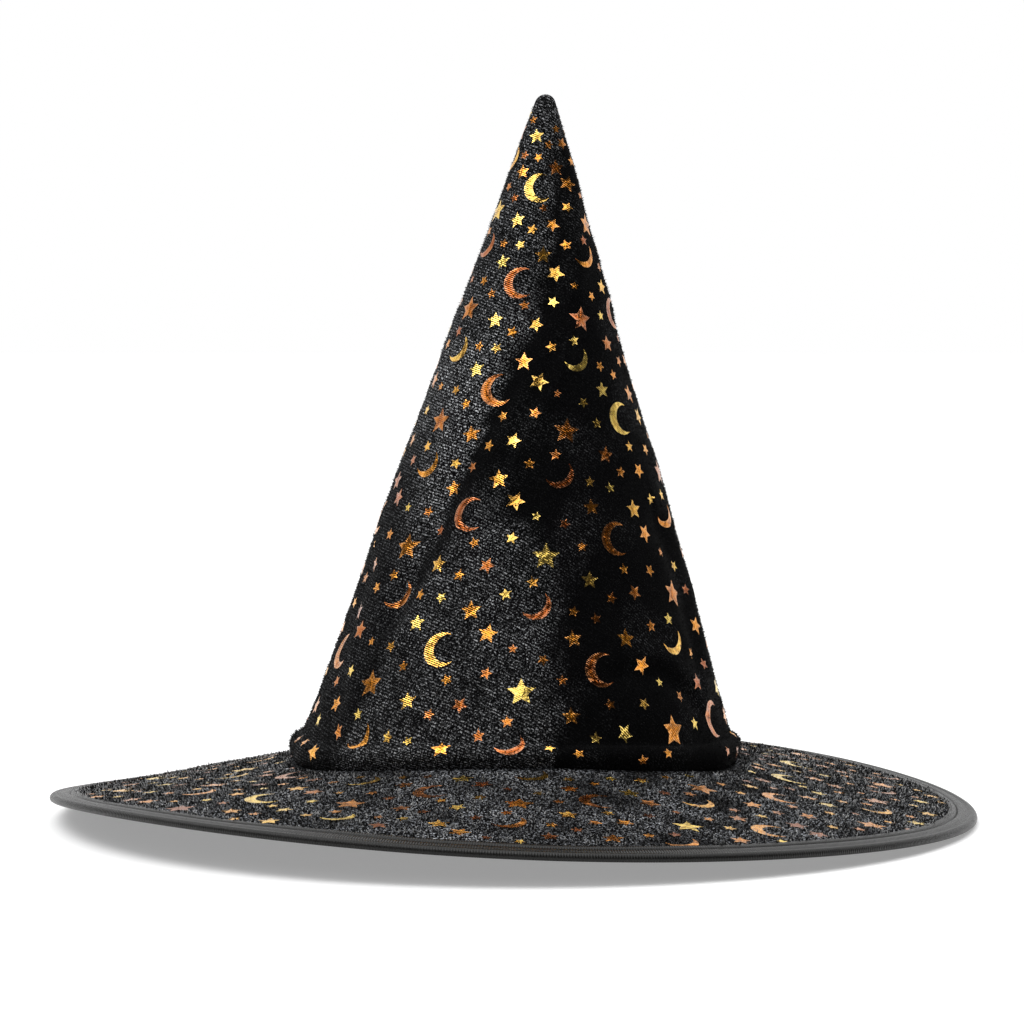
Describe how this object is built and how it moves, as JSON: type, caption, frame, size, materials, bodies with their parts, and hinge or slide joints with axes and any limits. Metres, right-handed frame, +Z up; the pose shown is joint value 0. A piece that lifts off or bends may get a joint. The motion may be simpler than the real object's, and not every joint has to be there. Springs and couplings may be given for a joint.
{
  "type": "witch hat",
  "caption": "Pointed black velvet costume hat with a wide wired brim, a bound edge and a scattered gold foil print of stars and crescent moons.",
  "frame": {"origin": "middle of the plane that the brim's rim rests on", "axes": "+Z up along the cone's axis, -Y towards the front, the seams and the care label at +Y"},
  "size_m": [0.39, 0.39, 0.302],
  "materials": {
    "velvet": "short-pile black velvet with a cool grey sheen, printed with small gold foil stars and moons",
    "foam": "thin black foam laminate, matt",
    "lining": "plain black woven lining cloth, slightly glossy",
    "board": "stiff black felt board, matt",
    "grosgrain": "warm dark grey ribbed tape, satin",
    "steel": "drawn steel wire, satin",
    "thread": "black polyester sewing thread",
    "satin": "woven off-white satin, blank",
    "gold_foil": "thin pressed gold foil, bright and finely crinkled"
  },
  "bodies": {
    "hat": {"cone_velvet": "velvet", "cone_foam": "foam", "cone_lining": "lining", "cone_seam_thread": "thread", "lining_seam_thread": "lining", "brim_top_velvet": "velvet", "brim_board": "board", "brim_underside": "lining", "brim_hoop": "steel", "hoop_sleeve": "steel", "edge_binding": "grosgrain", "binding_thread_top": "thread", "binding_thread_under": "thread", "crown_seam_thread": "thread", "sweatband": "grosgrain", "sweatband_thread": "thread"},
    "label": {"care_label": "satin"}
  },
  "joints": [
    {"name": "label_swing", "type": "hinge", "parent": "hat", "child": "label", "pos_m": [0, 0.0894, 0.01575], "axis": [1, 0, 0], "range_deg": [-85, 65]}
  ]
}
